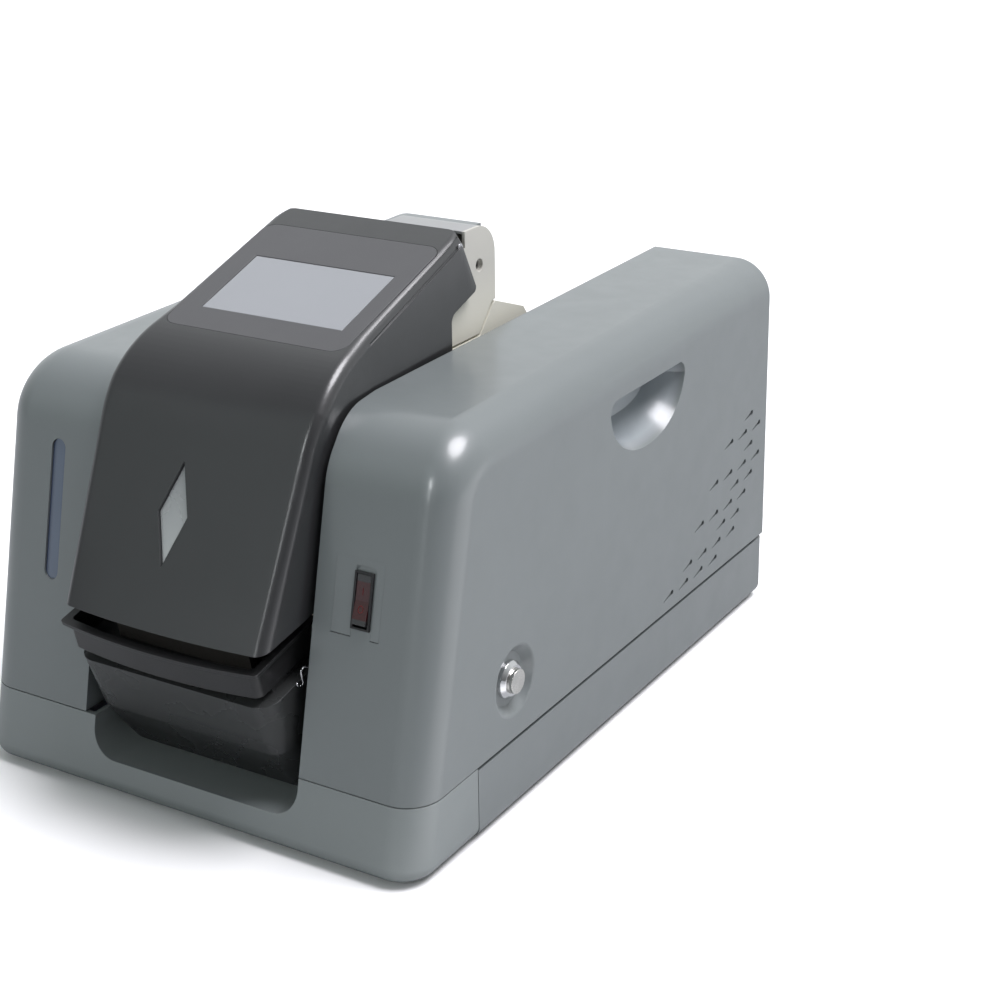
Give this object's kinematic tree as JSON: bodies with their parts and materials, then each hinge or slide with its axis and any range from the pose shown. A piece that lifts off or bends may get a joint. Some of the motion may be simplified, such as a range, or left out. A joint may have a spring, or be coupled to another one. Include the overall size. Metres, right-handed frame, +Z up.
{
  "type": "gummed tape dispenser",
  "caption": "Counter-top electric dispenser for gummed paper tape: grey casing with side vents, black hinged hood with screen, sliding moistener tray at the mouth, open tape bay behind.",
  "frame": {"origin": "on the table, under the middle of the machine's box", "axes": "+X to the machine's switch side, -Y out of its tape outlet, +Y towards the mains inlet, +Z up"},
  "size_m": [0.3069, 0.4523, 0.2989],
  "materials": {
    "casing_grey": "satin",
    "hood_black": "satin",
    "overlay_grey": "satin",
    "screen_grey": "gloss",
    "silver_lens": "gloss",
    "tray_black": "satin",
    "beige_metal": "satin",
    "head_grey": "satin",
    "steel": "satin",
    "chrome": "polished",
    "rubber": "matt",
    "roller_rubber": "matt",
    "bristle": "matt",
    "black_plastic": "satin",
    "red_plastic": "gloss",
    "tank_white": "satin",
    "level_blue": "gloss",
    "board_green": "satin",
    "motor_steel": "satin",
    "aluminium": "satin",
    "white_plastic": "satin",
    "hose_clear": "satin"
  },
  "bodies": {
    "casing": {"base_pan": "steel", "feet": "rubber", "front_skirt": "casing_grey", "rear_skirt": "casing_grey", "right_cover": "casing_grey", "left_cover": "casing_grey", "level_window": "level_blue", "rear_panel": "casing_grey", "mains_inlet": "black_plastic", "outlet_chute": "tray_black", "frame_plate_right": "beige_metal", "frame_plate_left": "beige_metal", "frame_ties": "steel", "head_plate_right": "beige_metal", "head_plate_left": "beige_metal", "head_cover": "head_grey", "hinge_pins": "steel", "feed_bearings": "steel", "feed_motor": "motor_steel", "motor_bracket": "steel", "timing_belt": "rubber", "arm_pivot_rod": "steel", "cutter_bed": "aluminium", "lower_blade": "steel", "blade_guide_rods": "chrome", "cutter_bridge": "steel", "cutter_solenoid": "motor_steel", "tape_guides": "steel", "tape_bay": "steel", "guide_rod": "chrome", "water_tank": "tank_white", "water_hose": "hose_clear", "power_supply": "aluminium", "control_board": "board_green", "fan_frame": "black_plastic", "switch_body": "black_plastic", "button_bezel": "chrome"},
    "hood": {"hood_shell": "hood_black", "display_overlay": "overlay_grey", "touch_screen": "screen_grey", "hood_window": "silver_lens"},
    "moistener": {"outlet_tray": "tray_black", "brushes": "bristle"},
    "feed_drive": {"feed_shaft": "steel", "feed_roller": "roller_rubber", "feed_pulley": "aluminium"},
    "motor_drive": {"motor_pulley": "aluminium"},
    "press_frame": {"pressure_arms": "steel"},
    "press_wheel": {"pressure_roller": "steel"},
    "cutter": {"blade_carrier": "steel", "upper_blade": "steel"},
    "head_roller": {"guide_roller": "white_plastic"},
    "front_roller": {"front_bay_roller": "white_plastic"},
    "rear_roller": {"rear_bay_roller": "white_plastic"},
    "left_guide": {"left_tape_guide": "white_plastic"},
    "right_guide": {"right_tape_guide": "white_plastic"},
    "fan": {"fan_impeller": "black_plastic"},
    "rocker": {"switch_rocker": "red_plastic"},
    "button": {"button_cap": "steel"},
    "cap": {"tank_cap": "black_plastic"}
  },
  "joints": [
    {"name": "hood_hinge", "type": "hinge", "parent": "casing", "child": "hood", "pos_m": [0, -0.0148, 0.29], "axis": [-1, 0, 0], "range_deg": [0, 65]},
    {"name": "start_button_press", "type": "slide", "parent": "casing", "child": "button", "axis": [-1, 0, 0], "range_m": [0, 0.0025], "stiffness_N_per_m": 600, "springref_m": -0.001},
    {"name": "power_rocker_tip", "type": "hinge", "parent": "casing", "child": "rocker", "pos_m": [0, -0.17552, 0.14588], "axis": [1, 0, 0], "range_deg": [0, 10]},
    {"name": "tray_slide", "type": "slide", "parent": "casing", "child": "moistener", "axis": [0, -0.9751, -0.2215], "range_m": [0, 0.055]},
    {"name": "feed_spin", "type": "hinge", "parent": "casing", "child": "feed_drive", "pos_m": [0, -0.05963, 0.19942], "axis": [1, 0, 0], "continuous": true},
    {"name": "motor_spin", "type": "hinge", "parent": "casing", "child": "motor_drive", "pos_m": [0, -0.0596, 0.118], "axis": [1, 0, 0], "continuous": true},
    {"name": "pressure_lift", "type": "hinge", "parent": "casing", "child": "press_frame", "pos_m": [0, -0.0408, 0.222], "axis": [-1, 0, 0], "range_deg": [0, 12], "stiffness_Nm_per_rad": 2, "springref_deg": -8.59},
    {"name": "pressure_spin", "type": "hinge", "parent": "press_frame", "child": "press_wheel", "pos_m": [0, -0.07286, 0.2198], "axis": [1, 0, 0], "continuous": true},
    {"name": "cutter_stroke", "type": "slide", "parent": "casing", "child": "cutter", "axis": [0, 0.5446, -0.8387], "range_m": [0, 0.008], "stiffness_N_per_m": 400, "springref_m": -0.006},
    {"name": "head_roller_spin", "type": "hinge", "parent": "casing", "child": "head_roller", "pos_m": [0, 0.0106, 0.2736], "axis": [1, 0, 0], "continuous": true},
    {"name": "front_bay_roller_spin", "type": "hinge", "parent": "casing", "child": "front_roller", "pos_m": [0, 0.0922, 0.04], "axis": [1, 0, 0], "continuous": true},
    {"name": "rear_bay_roller_spin", "type": "hinge", "parent": "casing", "child": "rear_roller", "pos_m": [0, 0.1722, 0.04], "axis": [1, 0, 0], "continuous": true},
    {"name": "right_guide_slide", "type": "slide", "parent": "casing", "child": "right_guide", "axis": [1, 0, 0], "range_m": [-0.012, 0.016]},
    {"name": "left_guide_slide", "type": "slide", "parent": "casing", "child": "left_guide", "axis": [-1, 0, 0], "range_m": [-0.012, 0.016]},
    {"name": "fan_spin", "type": "hinge", "parent": "casing", "child": "fan", "pos_m": [0.142, 0.1592, 0.096], "axis": [1, 0, 0], "continuous": true},
    {"name": "tank_cap_turn", "type": "hinge", "parent": "casing", "child": "cap", "pos_m": [-0.114, -0.0848, 0.2], "axis": [0, 0, 1], "continuous": true}
  ],
  "couplings": [
    {"joint": "motor_spin", "follows": "feed_spin", "ratio": 1.4444},
    {"joint": "pressure_spin", "follows": "feed_spin", "ratio": -1.6667},
    {"joint": "left_guide_slide", "follows": "right_guide_slide", "ratio": 1}
  ]
}
